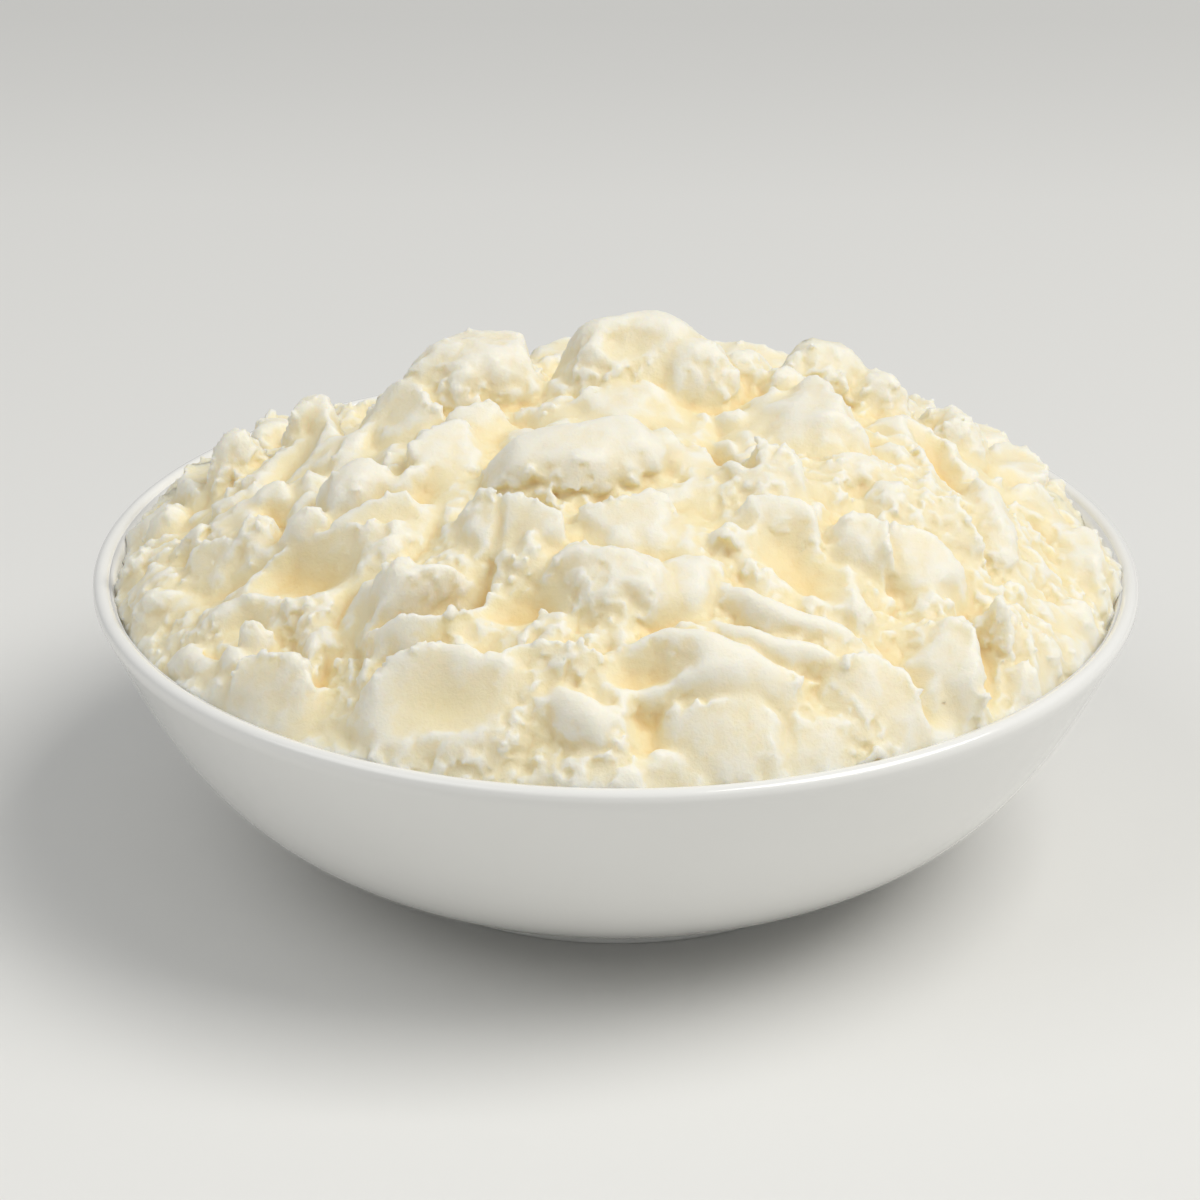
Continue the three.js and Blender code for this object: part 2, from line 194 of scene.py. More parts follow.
def wallRadius(height, wall):
    heights = [point[1] for point in wall]
    radii = [point[0] for point in wall]
    return np.interp(height, heights, radii)


def bowlProfile(shape):
    outer, inner = wallProfile(shape, 0)
    ringEdge = shape["footRadius"] - shape["footWidth"]
    profile = [(0, shape["footRecess"]), (ringEdge - shape["recessEdge"], shape["footRecess"])]
    profile += [(ringEdge + out, height) for out, height in shape["ringInside"]]
    profile += [(shape["footRadius"] + out, height) for out, height in shape["ringOutside"]]
    profile += outer
    middle = ((outer[-1][0] + inner[-1][0]) / 2, (outer[-1][1] + inner[-1][1]) / 2)
    half = (outer[-1][0] - inner[-1][0]) / 2
    for i in range(1, shape["lipSteps"]):
        angle = math.pi * i / shape["lipSteps"]
        profile.append((middle[0] + half * math.cos(angle), middle[1] + shape["lipCrown"] * math.sin(angle)))
    profile += inner[::-1]
    radius, height = inner[0]
    profile += [(radius - inwards, height - drop) for inwards, drop in shape["floorDip"]]
    profile.append((0, profile[-1][1]))
    return profile


def makeBowl(shape):
    build = bmesh.new()
    verts = [build.verts.new((radius * mm, 0, height * mm)) for radius, height in bowlProfile(shape)]
    edges = [build.edges.new(pair) for pair in zip(verts, verts[1:])]
    bmesh.ops.spin(
        build, geom=verts + edges, cent=(0, 0, 0), axis=(0, 0, 1), angle=math.tau,
        steps=shape["turnSteps"], use_merge=True,
    )
    bmesh.ops.remove_doubles(build, verts=build.verts, dist=mergeDistance)
    bmesh.ops.recalc_face_normals(build, faces=build.faces)
    mesh = finishBuild(build, "bowlShell")
    shadeSmooth(mesh)
    return addObject("bowlShell", mesh)


bowl = makeBowl(bowlShape)
print("bowl turned,", len(bowl.data.polygons), "faces")


# the mash: a smooth heap, the spoonfuls that lie on it, and the crumbs that they are torn into
heapShape = {  # millimetres
    "radius": 99.0,
    "edge": 54.5,  # height where it meets the bowl
    "rise": 37.5,
    "flatness": 2.8,  # higher keeps the heap full out to its shoulders
    "backFlatness": 2.2,
    "backReach": 60.0,  # how far back the change to the back's shape goes on
    "backDrop": 0.08,
    "lean": 0.1,  # fuller to the right
    "fallPast": 1.05,  # how far past its radius it goes on falling
    "steepest": 1.6,  # most that a slope may stretch the relief upwards
    "rimFill": 1.0,  # keeps the relief up to the bowl's wall
    "rimSlope": 16.0,
    "rimBlend": 2,
    "rimWidth": 0.15,  # share of the radius where the heap widens with the bowl
    "overhang": 0.3,  # how far a raised part leans out over the slope below it
    "highestOver": 9,
    "torn": 0.85,  # how torn it is between the spoonfuls
    "clearance": -0.3,  # below zero: the mash is pressed against the wall
    "sideRings": (50.5, 46, 38, 28, 19, 12),  # heights of the rings down the wall
    "floorGap": 0.2,
    "cells": 420,  # across the sheet
    "firstVoxel": 0.5,  # of the even mesh before it is torn, and then after
    "voxel": 0.4,
    "faces": 194000,  # triangles in each of its two pieces
    "cut": 24.0,  # the mash is two pieces that meet here
}

swell = {  # the lumps that show between the spoonfuls
    "height": 6,
    "size": 15,
    "smallHeight": 2.6,
    "smallSize": 6.5,
    "sink": 1.6,
}

wander = {  # how far outlines stray, and how uneven the faces are
    "broad": 2.6,
    "broadSize": 14,
    "close": 2.2,
    "closeSize": 7,
    "warp": 5,
    "wave": 0.5,
    "waveSize": 7,
    "ragSize": 3.2,
    "nickSize": 2.0,
}

cellWeights, seedStep, scatter = (127.1, 311.7, 419.2), 74.7, 43758.5453  # any large uneven numbers

seeds = {  # which random pattern each one reads
    "driftX": 1,
    "driftY": 2,
    "nick": 3,
    "closeX": 4,
    "closeY": 5,
    "ragX": 21,
    "ragY": 22,
    "swell": 31,
    "smallSwell": 37,
    "wave": 41,
    "fineLayer": 17,  # added to a pattern's own seed for its finer layer
    "patches": 5,
    "tears": 81,
    "shards": 131,
    "shardMove": 7,  # added to the shards' own for the way that each one moves
    "loosePatches": 23,
    "looseDraw": 11,
    "grain": 7,
}


def randomAt(i, j, seed):
    value = np.sin(i * cellWeights[0] + j * cellWeights[1] + seed * seedStep) * scatter
    return value - np.floor(value)


def ease(t):
    return t * t * (3 - 2 * t)


def noise(x, y, size, seed):
    i, j = np.floor(x / size), np.floor(y / size)
    s, t = ease(x / size - i), ease(y / size - j)
    near = randomAt(i, j, seed) * (1 - s) + randomAt(i + 1, j, seed) * s
    far = randomAt(i, j + 1, seed) * (1 - s) + randomAt(i + 1, j + 1, seed) * s
    return 2 * (near * (1 - t) + far * t) - 1


def roughNoise(x, y, size, seed):
    return (2 * noise(x, y, size, seed) + noise(x, y, size / 2, seed + seeds["fineLayer"])) / 3


def lumpNoise(x, y, size, seed):
    fine = noise(x, y, size / 2, seed + seeds["fineLayer"])
    return (2 * np.abs(noise(x, y, size, seed)) + np.abs(fine)) / 3


def softMax(a, b, width):
    share = np.clip(0.5 + 0.5 * (a - b) / width, 0, 1)
    return b + (a - b) * share + width * share * (1 - share)


def domeHeight(x, y):
    # broad at the front, falling away sooner at the back
    reach = np.minimum(np.hypot(x, y) / heapShape["radius"], heapShape["fallPast"])
    back = ease(np.clip(y / heapShape["backReach"], 0, 1))
    flatness = heapShape["flatness"] + (heapShape["backFlatness"] - heapShape["flatness"]) * back
    lean = 1 + heapShape["lean"] * x / heapShape["radius"] - heapShape["backDrop"] * back
    return heapShape["edge"] + heapShape["rise"] * (1 - reach**flatness) * lean


def domeSlope(x, y):
    step = 0.5
    slopeX = (domeHeight(x + step, y) - domeHeight(x - step, y)) / (2 * step)
    slopeY = (domeHeight(x, y + step) - domeHeight(x, y - step)) / (2 * step)
    return slopeX, slopeY


# A spoonful: place in the bowl, half length, half width, turn in degrees. lift: height over the heap,
# tip: more at its crest side, tilt: more at its far end, dish: rise of the rim over the middle,
# soft and crest: share of the half width that slopes, fall: drop over that slope, bend: curve,
# lean: slump towards the front, rag: how torn its outline is, blend: fillet to what lies under it,
# smooth: how whole its middle stays
habits = {
    "slab": dict(
        lift=3, tip=4.5, tilt=0, dish=0, soft=0.95, crest=0.2, fall=7,
        bend=0, lean=0, rag=1, blend=2.4, smooth=0.9,
    ),
    "lump": dict(
        lift=5, tip=0, tilt=0, dish=-2, soft=0.8, crest=0.8, fall=6,
        bend=0, lean=0, rag=1, blend=2, smooth=0.4,
    ),
    "hollow": dict(
        lift=0, tip=0, tilt=0, dish=0, soft=0.9, crest=0.9, fall=6,
        bend=0, lean=0, rag=0.4, blend=2.2, smooth=0.8,
    ),
}


def spoonful(kind, name, x, y, long, wide, turn, **more):
    place = {"kind": kind, "name": name, "x": x, "y": y, "long": long, "wide": wide, "turn": turn}
    return {**place, **habits[kind], **more}


def slab(*place, **more):
    return spoonful("slab", *place, **more)


def lump(*place, **more):
    return spoonful("lump", *place, **more)


def hollow(*place, **more):
    return spoonful("hollow", *place, **more)


farSide = {  # slabs in two rows round the back, millimetres and degrees
    "count": 18,
    "start": 5,
    "step": 10,
    "angleStray": 5,
    "rows": (80, 50),
    "rowStray": 8,
    "rowShift": 4,
    "long": (12, 6),  # shortest, and how much longer
    "wide": (9, 4),
    "turnStray": 70,
    "patterns": (11, 12, 13, 14, 15),  # for the angle, the radius, both sizes and the turn
}


def farSlabs(side):
    slabs = []
    for i in range(side["count"]):
        swing, out, longer, wider, twist = (randomAt(i, pattern, 0) for pattern in side["patterns"])
        angle = math.radians(side["start"] + i * side["step"] + side["angleStray"] * swing)
        radius = side["rows"][i % 2] + side["rowStray"] * (out - 0.5)
        long = side["long"][0] + side["long"][1] * longer
        wide = side["wide"][0] + side["wide"][1] * wider
        turn = math.degrees(angle) - 90 + side["turnStray"] * (twist - 0.5)
        x, y = radius * math.cos(angle), radius * math.sin(angle) + side["rowShift"]
        slabs.append(slab(f"far{i}", x, y, long, wide, turn))
    return slabs


spoonfuls = farSlabs(farSide) + [
    # skyline
    lump("backLeftLump", -75, 12, 10, 9, 0, lift=3, fall=7, rag=1.5),
    lump("leftSpike", -62, 16, 5.5, 7, 0, lift=8, soft=0.6, fall=8, rag=2),
    hollow("leftDip", -53.5, 24, 5.5, 20, 0, lift=-7),
    hollow("backLeftNotch", -54, 48, 10, 22, 0, lift=-8),
    lump("leftPeak", -28.5, 12, 16, 12, 10, lift=13.5, tip=1, dish=-4, soft=0.6, fall=8, smooth=0.6),
    hollow("peakNotch", -12, 29, 6, 18, 0, lift=-5),
    lump("topPeak", 4, 11, 16.5, 12, 0, lift=16.5, tip=1, dish=-4, soft=0.7, fall=7, rag=0.8, smooth=1),
    hollow("topScoop", 2, 2, 9, 6, 0, lift=10, fall=3, rag=0.2, smooth=1),
    lump("topShoulder", 15, 5, 8, 9, 0, lift=12, fall=8, rag=1.4),
    hollow("topDip", 30, 30, 9, 14, 0, lift=-2),
    lump("topCrumb1", 25, 12, 7, 7, 0, lift=8),
    lump("topCrumb2", 33, 8, 7, 6, 0, lift=7),
    lump("topRightLump", 41, 19, 12, 9, 0, lift=10.5, dish=-2, fall=7, rag=1.6),
    lump("backRightA", 52.5, 16, 9, 9, -30, lift=8),
    hollow("backRightDip", 61, 26, 4, 12, 0, lift=-1),
    lump("backRightB", 68.5, 13, 9, 8, -40, lift=6.5),
    lump("backRightC", 87, 12, 9, 8, -50, lift=2.5),
    # left
    slab("facetB", -46, -2, 16, 12, -50, lift=4, tip=6, dish=0, crest=0.3, rag=0.5),
    hollow("leftValley", -66, -4, 15, 7, 65),
    lump("roundLump", -51, -27, 8.5, 7, 15, lift=8, soft=0.6, fall=6, rag=1.2, smooth=0.45),
    lump("diagRoll", -40.5, -27, 10, 3.5, 40, lift=4.5, dish=-1, rag=0.8),
    slab("leafA", -32.5, -23, 12, 8, 30, lift=3.5, tip=4, rag=0.5),
    slab("leafB", -27.5, -12, 9, 7, 20, lift=4, tip=3.5, rag=0.5),
    hollow("leafGroove", -26, -25, 8, 3, 75),
    lump("midTopA", -20, 8, 8, 7, 10, lift=6, rag=1.5),
    lump("midTopB", -11, 5, 8, 6, 0, lift=5.5, rag=1.5),
    slab("smoothDiag", 0, -9, 18, 10, 5, lift=4, tip=3, crest=0.3, rag=0.5),
    lump("rimLumpA", -89, 4, 8, 6, 0, lift=4.5, rag=1.6, smooth=0.1),
    lump("rimLumpB", -76.5, 10, 7.5, 6, 0, lift=9, rag=1.6),
    lump("fieldA", -93.5, -11.5, 8, 5.5, 0, lift=5, rag=1.6, smooth=0),
    lump("fieldB", -83, -17, 8, 5.5, 0, lift=5, rag=1.5, smooth=0.1),
    lump("fieldC", -70.5, -27, 8, 5.5, 20, lift=5, rag=1.5, smooth=0.1),
    lump("fieldD", -88.5, -31, 8, 5, 0, lift=4.5, rag=1.6, smooth=0.1),
    lump("fieldE", -67.5, -15.5, 8, 5, 0, lift=5, rag=1.6, smooth=0.1),
    slab("wedge", -79.5, -29.5, 11, 7, -15, lift=2.5, tip=3, rag=0.5),
    slab("slabD", -58, -46.5, 17, 12, -8, lift=3.5, tip=6.5, crest=0.15, rag=1.4),
    hollow("scoopD", -59.5, -43, 14, 9, -10, lift=-2, soft=1, fall=6, rag=0.3, blend=2.5),
    lump("knob", -67.5, -57.5, 4, 4.5, 0, lift=6, rag=1.2),
    lump("ridgeKnob", -59.5, -33, 8, 4, 0, lift=6, rag=1.4),
    slab("ridgeBack", -46, -38.5, 14, 4.5, 8, lift=3.5, tip=2.5, rag=1.5, smooth=0.4),
    # lower left
    lump("lumpE", -36, -65.5, 16, 11, 25, lift=8.5, dish=-3, soft=0.6, fall=7, rag=0.3, smooth=0.9),
    lump("lumpE1", -40, -61, 7, 5.5, 10, lift=9, rag=1.6, smooth=0.3),
    lump("lumpE2", -38.5, -68.5, 7, 5.5, 20, lift=9, rag=1.6, smooth=0.3),
    lump("rollL1", -91, -29.5, 10, 5, -70, lift=3, smooth=0.6),
    lump("rollL2", -79, -53.5, 12, 6, -55, lift=4, dish=-2, rag=0.7, smooth=0.8),
    lump("bitsL", -70.5, -60, 6, 4.5, 0, lift=5, rag=2, smooth=0),
    slab("blockL", -64, -71, 13, 9, -20, lift=4, tip=3, rag=1.3, smooth=0.5),
    hollow("blockScoop", -60, -74.5, 7, 4, -25, lift=3.5, fall=4),
    hollow("crevL", -54.5, -68, 6, 2.5, 70, lift=-2),
    slab("chunkI", -32.5, -84.5, 22, 11, 4, lift=5.5, tip=3, dish=0, soft=0.6, crest=0.3, fall=7),
    hollow("dishI", -31, -85.5, 13, 6, 0, lift=3.5, soft=1, fall=3, rag=0.2, blend=3),
    slab("bandI", -27.5, -91.5, 18, 4, 3, lift=2.5, tip=1.5, rag=1.6, smooth=0.2),
    # centre
    slab("tongueC", -7, -28.5, 21, 10, 3, lift=9, tip=2, dish=-3, soft=0.5, crest=0.5, fall=9, lean=-2,
         rag=0, blend=1.5, smooth=1),
    lump("tongueR", 8.5, -25, 9, 7, -20, lift=6, rag=1.6),
    hollow("holeT", 12.5, -33.5, 2, 1.6, 0, lift=-1, blend=0.5),
    slab("facetMid", 4, -52, 13, 10, 10, lift=3.5, tip=2),
    lump("underA", -16, -41, 9, 3.5, 0, lift=2.5),
    hollow("gapF", -14.5, -41.5, 5, 2.2, -30, lift=-2),
    slab("ridgeF", -22, -55, 16, 10, -42, lift=3, tip=6, crest=0.15, fall=8, rag=1.2),
    lump("lumpF", -2, -65.5, 14, 8.5, -10, lift=7.5, tip=1, dish=-1, soft=0.5, fall=7, rag=1, smooth=0.6),
    hollow("caveF", 4.5, -71.5, 6, 3, -20, lift=3.5, blend=3),
    hollow("dishG", -18.5, -68, 11, 7, 10, lift=-1, soft=1),
    slab("crestG", -12.5, -82.5, 17, 5, 3, lift=3.5, tip=3.5, rag=1.4, smooth=0.5),
    hollow("creaseE", -30, -65.5, 15, 3.4, 38, lift=-4, bend=0.03, rag=0.2, blend=1.5),
    lump("rollM", -6, -89.5, 13, 7, -28, lift=6, dish=-3, lean=-1, rag=0.1, smooth=1),
    lump("foldH", 14.5, -82, 23, 9.5, -5, lift=8, dish=-2, soft=0.7, bend=-0.008, rag=0.1, smooth=1),
    hollow("pitH", 4.5, -83, 9.5, 5.5, -8, lift=2, soft=1, fall=5, blend=3),
    slab("facetH", 27, -84.5, 11, 6, -12, lift=4, tip=2),
    lump("blockF1", 8.5, -95, 9, 4.5, 0, lift=3, rag=1.3),
    slab("blockF2", 22, -92, 11, 8, 3, lift=4, tip=2.5, dish=-1, soft=0.6, rag=1.5),
    lump("lowCrumbs", -6, -95.5, 9, 3.5, 0, lift=2, rag=2, smooth=0),
    lump("finger", 13, -64.5, 12, 9, 82, lift=4.5, dish=-2, rag=0.5, blend=3, smooth=0.9),
    slab("lobe", 30, -48, 12, 7, -15, lift=3.5, tip=2.5, rag=0.6),
    slab("lumpMR", 28, -36, 11, 9, -20, lift=5, tip=3, rag=1.5, smooth=0.3),
    hollow("crevMR", 20.5, -23.5, 10, 2.8, -60, lift=-4, rag=0.3),
    lump("crumbMR", 22.5, -51.5, 7, 5, 0, lift=4, rag=2, smooth=0),
    # right
    slab("lumpK", 34.5, -8.5, 17, 12, -70, lift=6, tip=4, dish=-1, crest=0.3, rag=0.8),
    lump("ragK", 48.5, -23.5, 13, 7, -20, lift=4, rag=1.6),
    lump("slopeR", 61, -1, 13, 8, -30, lift=4.5, rag=1.6),
    lump("rollR", 73, -22, 17, 8.5, -68, lift=5, rag=1, smooth=0.6),
    hollow("scoopL", 64.5, -9.5, 13, 6, -62, lift=-1.5, soft=1),
    slab("ledge", 63, -35, 14, 5, -30, lift=3, tip=3, rag=1.6, smooth=0.5),
    slab("facetM", 91, -10, 18, 10, -78, lift=4, tip=2.5, crest=0.4, rag=0.8),
    slab("facetJ", 30.5, -56.5, 13, 8, -15, lift=2.5, tip=2.5, tilt=-2, rag=0.5),
    hollow("hollowJ", 35.5, -55, 14, 8, -25, lift=-2, soft=1),
    lump("arcA", 31.5, -70.5, 20, 4.6, -20, lift=6, bend=0.014, rag=0.3, blend=1, smooth=0.95),
    lump("arcB", 30.5, -77, 20, 4.4, -16, lift=6.5, bend=0.014, rag=0.3, blend=1, smooth=0.95),
    slab("ragChunk", 47, -48, 9, 6, -40, lift=4.5, tip=2.5, rag=2, smooth=0.3),
    slab("flatR", 57.5, -47.5, 14, 9, -22, lift=3, tip=2.5),
    slab("slabN", 60, -67, 15, 9, -72, lift=5, tip=4, crest=0.3, rag=1.6),
    slab("facetN", 47, -81, 15, 9.5, -8, lift=4.5, tip=3.5, dish=-1, soft=0.6),
    lump("lumpN", 54.5, -78.5, 8, 4.5, 10, lift=3),
    lump("flake", 72, -53, 6, 2.2, -60, lift=7, soft=0.6, rag=2, blend=0.6),
    hollow("crevN", 69, -60.5, 9, 2.4, -70, lift=-3),
    lump("lumpR1", 90, -32.5, 8, 6, -40, lift=3.5, rag=2),
    lump("lumpR2", 95, -9, 7, 5, 0, lift=3.5, rag=2),
    lump("lumpR3", 82, -49, 7, 5, -30, lift=3.5, rag=2),
    slab("frontR", 42.5, -85.5, 11, 3.5, 5, lift=1.5, tip=1.5),
]

pressing = {
    "squareness": 2.2,  # 2 makes an outline an oval, more makes it squarer
    "fullSway": 10,  # narrower spoonfuls stray less
    "reachOut": 1.9,  # how far round a spoonful, in its own half sizes, it can be felt
    "reachMore": 6,
    "rag": 0.5,  # how far a torn outline strays
    "nick": 0.04,
    "core": 0.3,  # inside this share of it no side is the crest's side
    "tipEnds": (-1.4, 1.2),
    "tiltEnds": (-1.2, 1.2),
    "dishEnd": 1.2,
    "cover": 1.5,  # depth over which it hides what lies under it
    "middleEnd": 0.55,  # where its middle ends and its edge begins
    "middleFade": 0.4,
    "edgeTorn": 0.3,
    "ragTorn": 0.8,  # the more ragged, the more torn its edge
}


def seat(item):
    # a spoonful lies on the heap's own slope at its place
    slopeX, slopeY = domeSlope(item["x"], item["y"])
    out = Vector((-slopeX, -slopeY, 1)).normalized()
    turn = math.radians(item["turn"])
    along = Vector((math.cos(turn), math.sin(turn), 0))
    along = (along - out * along.dot(out)).normalized()
    return along, out.cross(along), Vector((item["x"], item["y"], domeHeight(item["x"], item["y"])))


def press(item, field, drift, way):
    along, across, centre = seat(item)
    near = max(item["long"], item["wide"]) * way["reachOut"] + way["reachMore"]
    hit = np.nonzero((np.abs(field["x"] - item["x"]) < near) & (np.abs(field["y"] - item["y"]) < near))[0]
    dx, dy, dz = (field[axis][hit] - start for axis, start in zip("xyz", centre))
    rag = item["rag"]
    sway = min(1, item["wide"] / way["fullSway"])
    stray = way["rag"] * rag
    u = dx * along.x + dy * along.y + dz * along.z + sway * drift["x"][hit] + stray * drift["ragX"][hit]
    v = dx * across.x + dy * across.y + dz * across.z + sway * drift["y"][hit] + stray * drift["ragY"][hit]
    v = v - item["bend"] * u * u
    square = way["squareness"]
    reach = (np.abs(u / item["long"]) ** square + np.abs(v / item["wide"]) ** square) ** (1 / square)
    reach = reach + way["nick"] * rag * drift["nick"][hit]
    toCrest = ease(np.clip(v / item["wide"] / np.maximum(reach, way["core"]), 0, 1))
    soft = item["soft"] * (1 - toCrest) + item["crest"] * toCrest
    past = np.maximum(reach - (1 - soft), 0) / soft
    face = item["lift"] + item["tip"] * np.clip(v / item["wide"], *way["tipEnds"])
    face = face + item["tilt"] * np.clip(u / item["long"], *way["tiltEnds"]) + drift["wave"][hit]
    relief = field["relief"][hit]
    if item["kind"] == "hollow":
        floor = face + item["fall"] * past * past
        share = np.clip((relief - floor) / way["cover"], 0, 1)
        field["relief"][hit] = -softMax(-relief, -floor, item["blend"])
    else:
        top = face + item["dish"] * np.minimum(reach, way["dishEnd"]) ** 2 - item["fall"] * past * past
        share = np.clip((top - relief) / way["cover"], 0, 1)
        field["slump"][hit] += (item["lean"] - field["slump"][hit]) * share
        field["relief"][hit] = softMax(relief, top, item["blend"])
    middle = 1 - ease(np.clip((reach - way["middleEnd"]) / way["middleFade"], 0, 1))
    torn = (1 - item["smooth"]) * middle + min(1, way["edgeTorn"] + way["ragTorn"] * rag) * (1 - middle)
    field["torn"][hit] += (torn - field["torn"][hit]) * share


def heapSurface(x, y, wall):
    driftX = roughNoise(x, y, wander["broadSize"], seeds["driftX"])
    driftY = roughNoise(x, y, wander["broadSize"], seeds["driftY"])
    closeX = roughNoise(x, y, wander["closeSize"], seeds["closeX"])
    closeY = roughNoise(x, y, wander["closeSize"], seeds["closeY"])
    warpedX, warpedY = x + wander["warp"] * driftX, y + wander["warp"] * driftY
    drift = {
        "x": wander["broad"] * driftX + wander["close"] * closeX,
        "y": wander["broad"] * driftY + wander["close"] * closeY,
        "ragX": roughNoise(x, y, wander["ragSize"], seeds["ragX"]),
        "ragY": roughNoise(x, y, wander["ragSize"], seeds["ragY"]),
        "nick": roughNoise(x, y, wander["nickSize"], seeds["nick"]),
        "wave": wander["wave"] * roughNoise(warpedX, warpedY, wander["waveSize"], seeds["wave"]),
    }
    large = swell["height"] * lumpNoise(warpedX, warpedY, swell["size"], seeds["swell"])
    small = swell["smallHeight"] * lumpNoise(warpedX, warpedY, swell["smallSize"], seeds["smallSwell"])
    field = {
        "x": x,
        "y": y,
        "z": domeHeight(x, y),
        "relief": large + small - swell["sink"],
        "slump": np.zeros_like(x),
        "torn": np.full_like(x, heapShape["torn"]),
    }
    for item in spoonfuls:
        press(item, field, drift, pressing)
    inwards = 1 - np.hypot(x, y) / heapShape["radius"]
    rim = heapShape["rimFill"] - heapShape["rimSlope"] * inwards
    field["relief"] = softMax(field["relief"], rim, heapShape["rimBlend"])
    slopeX, slopeY = domeSlope(x, y)
    stretch = np.minimum(np.sqrt(1 + slopeX**2 + slopeY**2), heapShape["steepest"])
    inland = np.clip(inwards / heapShape["rimWidth"], 0, 1)
    over = heapShape["overhang"] * inland * np.clip(field["relief"], 0, heapShape["highestOver"])
    height = field["z"] + field["relief"] * stretch
    flare = 1 + (wallRadius(height, wall) / wallRadius(heapShape["edge"], wall) - 1) * ease(1 - inland)
    outX = flare * x - over * np.clip(slopeX, -1, 1)
    outY = flare * y - over * np.clip(slopeY, -1, 1) + field["slump"]
    return np.stack([outX, outY, height], axis=-1), field["torn"]


def makeHeap(shape):
    # a square sheet drawn out to a round one, closed below by rings that follow the bowl's wall
    wall = innerWall(shape["clearance"])
    rim = wallRadius(shape["edge"], wall)
    build = bmesh.new()
    bmesh.ops.create_grid(build, x_segments=shape["cells"], y_segments=shape["cells"], size=1)
    sheetCount = len(build.verts)
    edges = [edge for edge in build.edges if edge.is_boundary]
    rings = []
    for height in (*shape["sideRings"], wall[0][1] + shape["floorGap"]):
        made = bmesh.ops.extrude_edge_only(build, edges=edges)["geom"]
        edges = [part for part in made if isinstance(part, bmesh.types.BMEdge) and part.is_boundary]
        count = len([part for part in made if isinstance(part, bmesh.types.BMVert)])
        rings += [(wallRadius(height, wall), height)] * count
    bmesh.ops.contextual_create(build, geom=edges)
    bmesh.ops.recalc_face_normals(build, faces=build.faces)
    mesh = finishBuild(build, "mash")
    coords = readCoords(mesh)
    u, v = coords[:, 0], coords[:, 1]
    x, y = u * np.sqrt(1 - v * v / 2), v * np.sqrt(1 - u * u / 2)  # square to disc
    coords[:sheetCount], torn = heapSurface(rim * x[:sheetCount], rim * y[:sheetCount], wall)
    rings = np.array(rings)
    coords[sheetCount:, 0] = x[sheetCount:] * rings[:, 0]
    coords[sheetCount:, 1] = y[sheetCount:] * rings[:, 0]
    coords[sheetCount:, 2] = rings[:, 1]
    writeCoords(mesh, coords * mm)
    writeLayer(mesh, "torn", np.concatenate([torn, np.zeros(len(rings))]))
    return addObject("mash", mesh)


def remesh(piece, voxel):
    modifier = piece.modifiers.new("remesh", "REMESH")
    modifier.mode = "VOXEL"
    modifier.voxel_size = voxel * mm
    modifier.adaptivity = 0
    applyModifiers(piece)


def decimate(piece, faces):
    modifier = piece.modifiers.new("decimate", "DECIMATE")
    modifier.ratio = min(1, faces / sum(len(p.vertices) - 2 for p in piece.data.polygons))
    modifier.use_collapse_triangulate = True
    applyModifiers(piece)


tornMap = {  # carries how torn the sheet is over to the even mesh, by place over the heap
    "cell": 0.6,
    "across": 360,
    "lowest": 53,  # below this height, or where it faces down more than this, nothing is torn
    "facing": -0.4,
    "least": 0.02,
}


def mapCell(points):
    across = tornMap["across"]
    cell = np.clip(np.round(points[:, :2] / tornMap["cell"]) + across / 2, 0, across - 1).astype(int)
    return cell[:, 0] * across + cell[:, 1]


def spreadTorn(piece, coords, torn):
    cell = mapCell(coords)
    total = np.bincount(cell, weights=torn, minlength=tornMap["across"]**2)
    found = np.bincount(cell, minlength=tornMap["across"]**2)
    even = readCoords(piece.data) / mm
    cell = mapCell(even)
    shown = (readNormals(piece.data)[:, 2] > tornMap["facing"]) & (even[:, 2] > tornMap["lowest"])
    torn = np.maximum(total[cell] / np.maximum(found[cell], 1), tornMap["least"])
    writeLayer(piece.data, "torn", np.where(shown, torn, 0))


def edgeEnds(mesh):
    ends = np.empty(len(mesh.edges) * 2, dtype=np.int32)
    mesh.edges.foreach_get("vertices", ends)
    return ends.reshape(-1, 2)


def smoothed(values, ends, rounds):
    # average over neighbours, again and again
    keep = 0.4
    count = len(values)
    joined = np.bincount(ends.ravel(), minlength=count)
    values = values.copy()
    for _ in range(rounds):
        total = np.empty_like(values)
        for axis in range(values.shape[1]):
            column = values[:, axis]
            total[:, axis] = np.bincount(ends[:, 0], weights=column[ends[:, 1]], minlength=count)
            total[:, axis] += np.bincount(ends[:, 1], weights=column[ends[:, 0]], minlength=count)
        values = keep * values + (1 - keep) * total / np.maximum(joined, 1)[:, None]
    return values


def hashed(cell, seed):
    value = np.sin(cell @ np.array(cellWeights) + seed * seedStep) * scatter
    return value - np.floor(value)


def solidNoise(points, size, seed):
    cell = np.floor(points / size)
    part = ease(points / size - cell)
    total = 0
    for corner in range(8):
        step = np.array([corner & 1, corner >> 1 & 1, corner >> 2 & 1])
        weight = np.prod(np.where(step, part, 1 - part), axis=1)
        total = total + weight * hashed(cell + step, seed)
    return 2 * total - 1


def nearestGrain(points, size, seed):
    # one grain in each cell of the room: how far the nearest one's middle is, squared, and its cell
    cell = np.floor(points / size)
    nearest = np.full(len(points), np.inf)
    chosen = cell.copy()
    for corner in range(27):
        near = cell + np.array([corner % 3, corner // 3 % 3, corner // 9]) - 1
        middle = near + np.stack([hashed(near, seed + axis) for axis in range(3)], axis=1)
        gap = np.sum((points / size - middle) ** 2, axis=1)
        closer = gap < nearest
        nearest[closer] = gap[closer]
        chosen[closer] = near[closer]
    return nearest, chosen


def granules(points, size, seed):
    # packed round grains: 1 at the middle of each, falling to about -1 between them
    fall = 2.6
    return 1 - fall * nearestGrain(points, size, seed)[0]


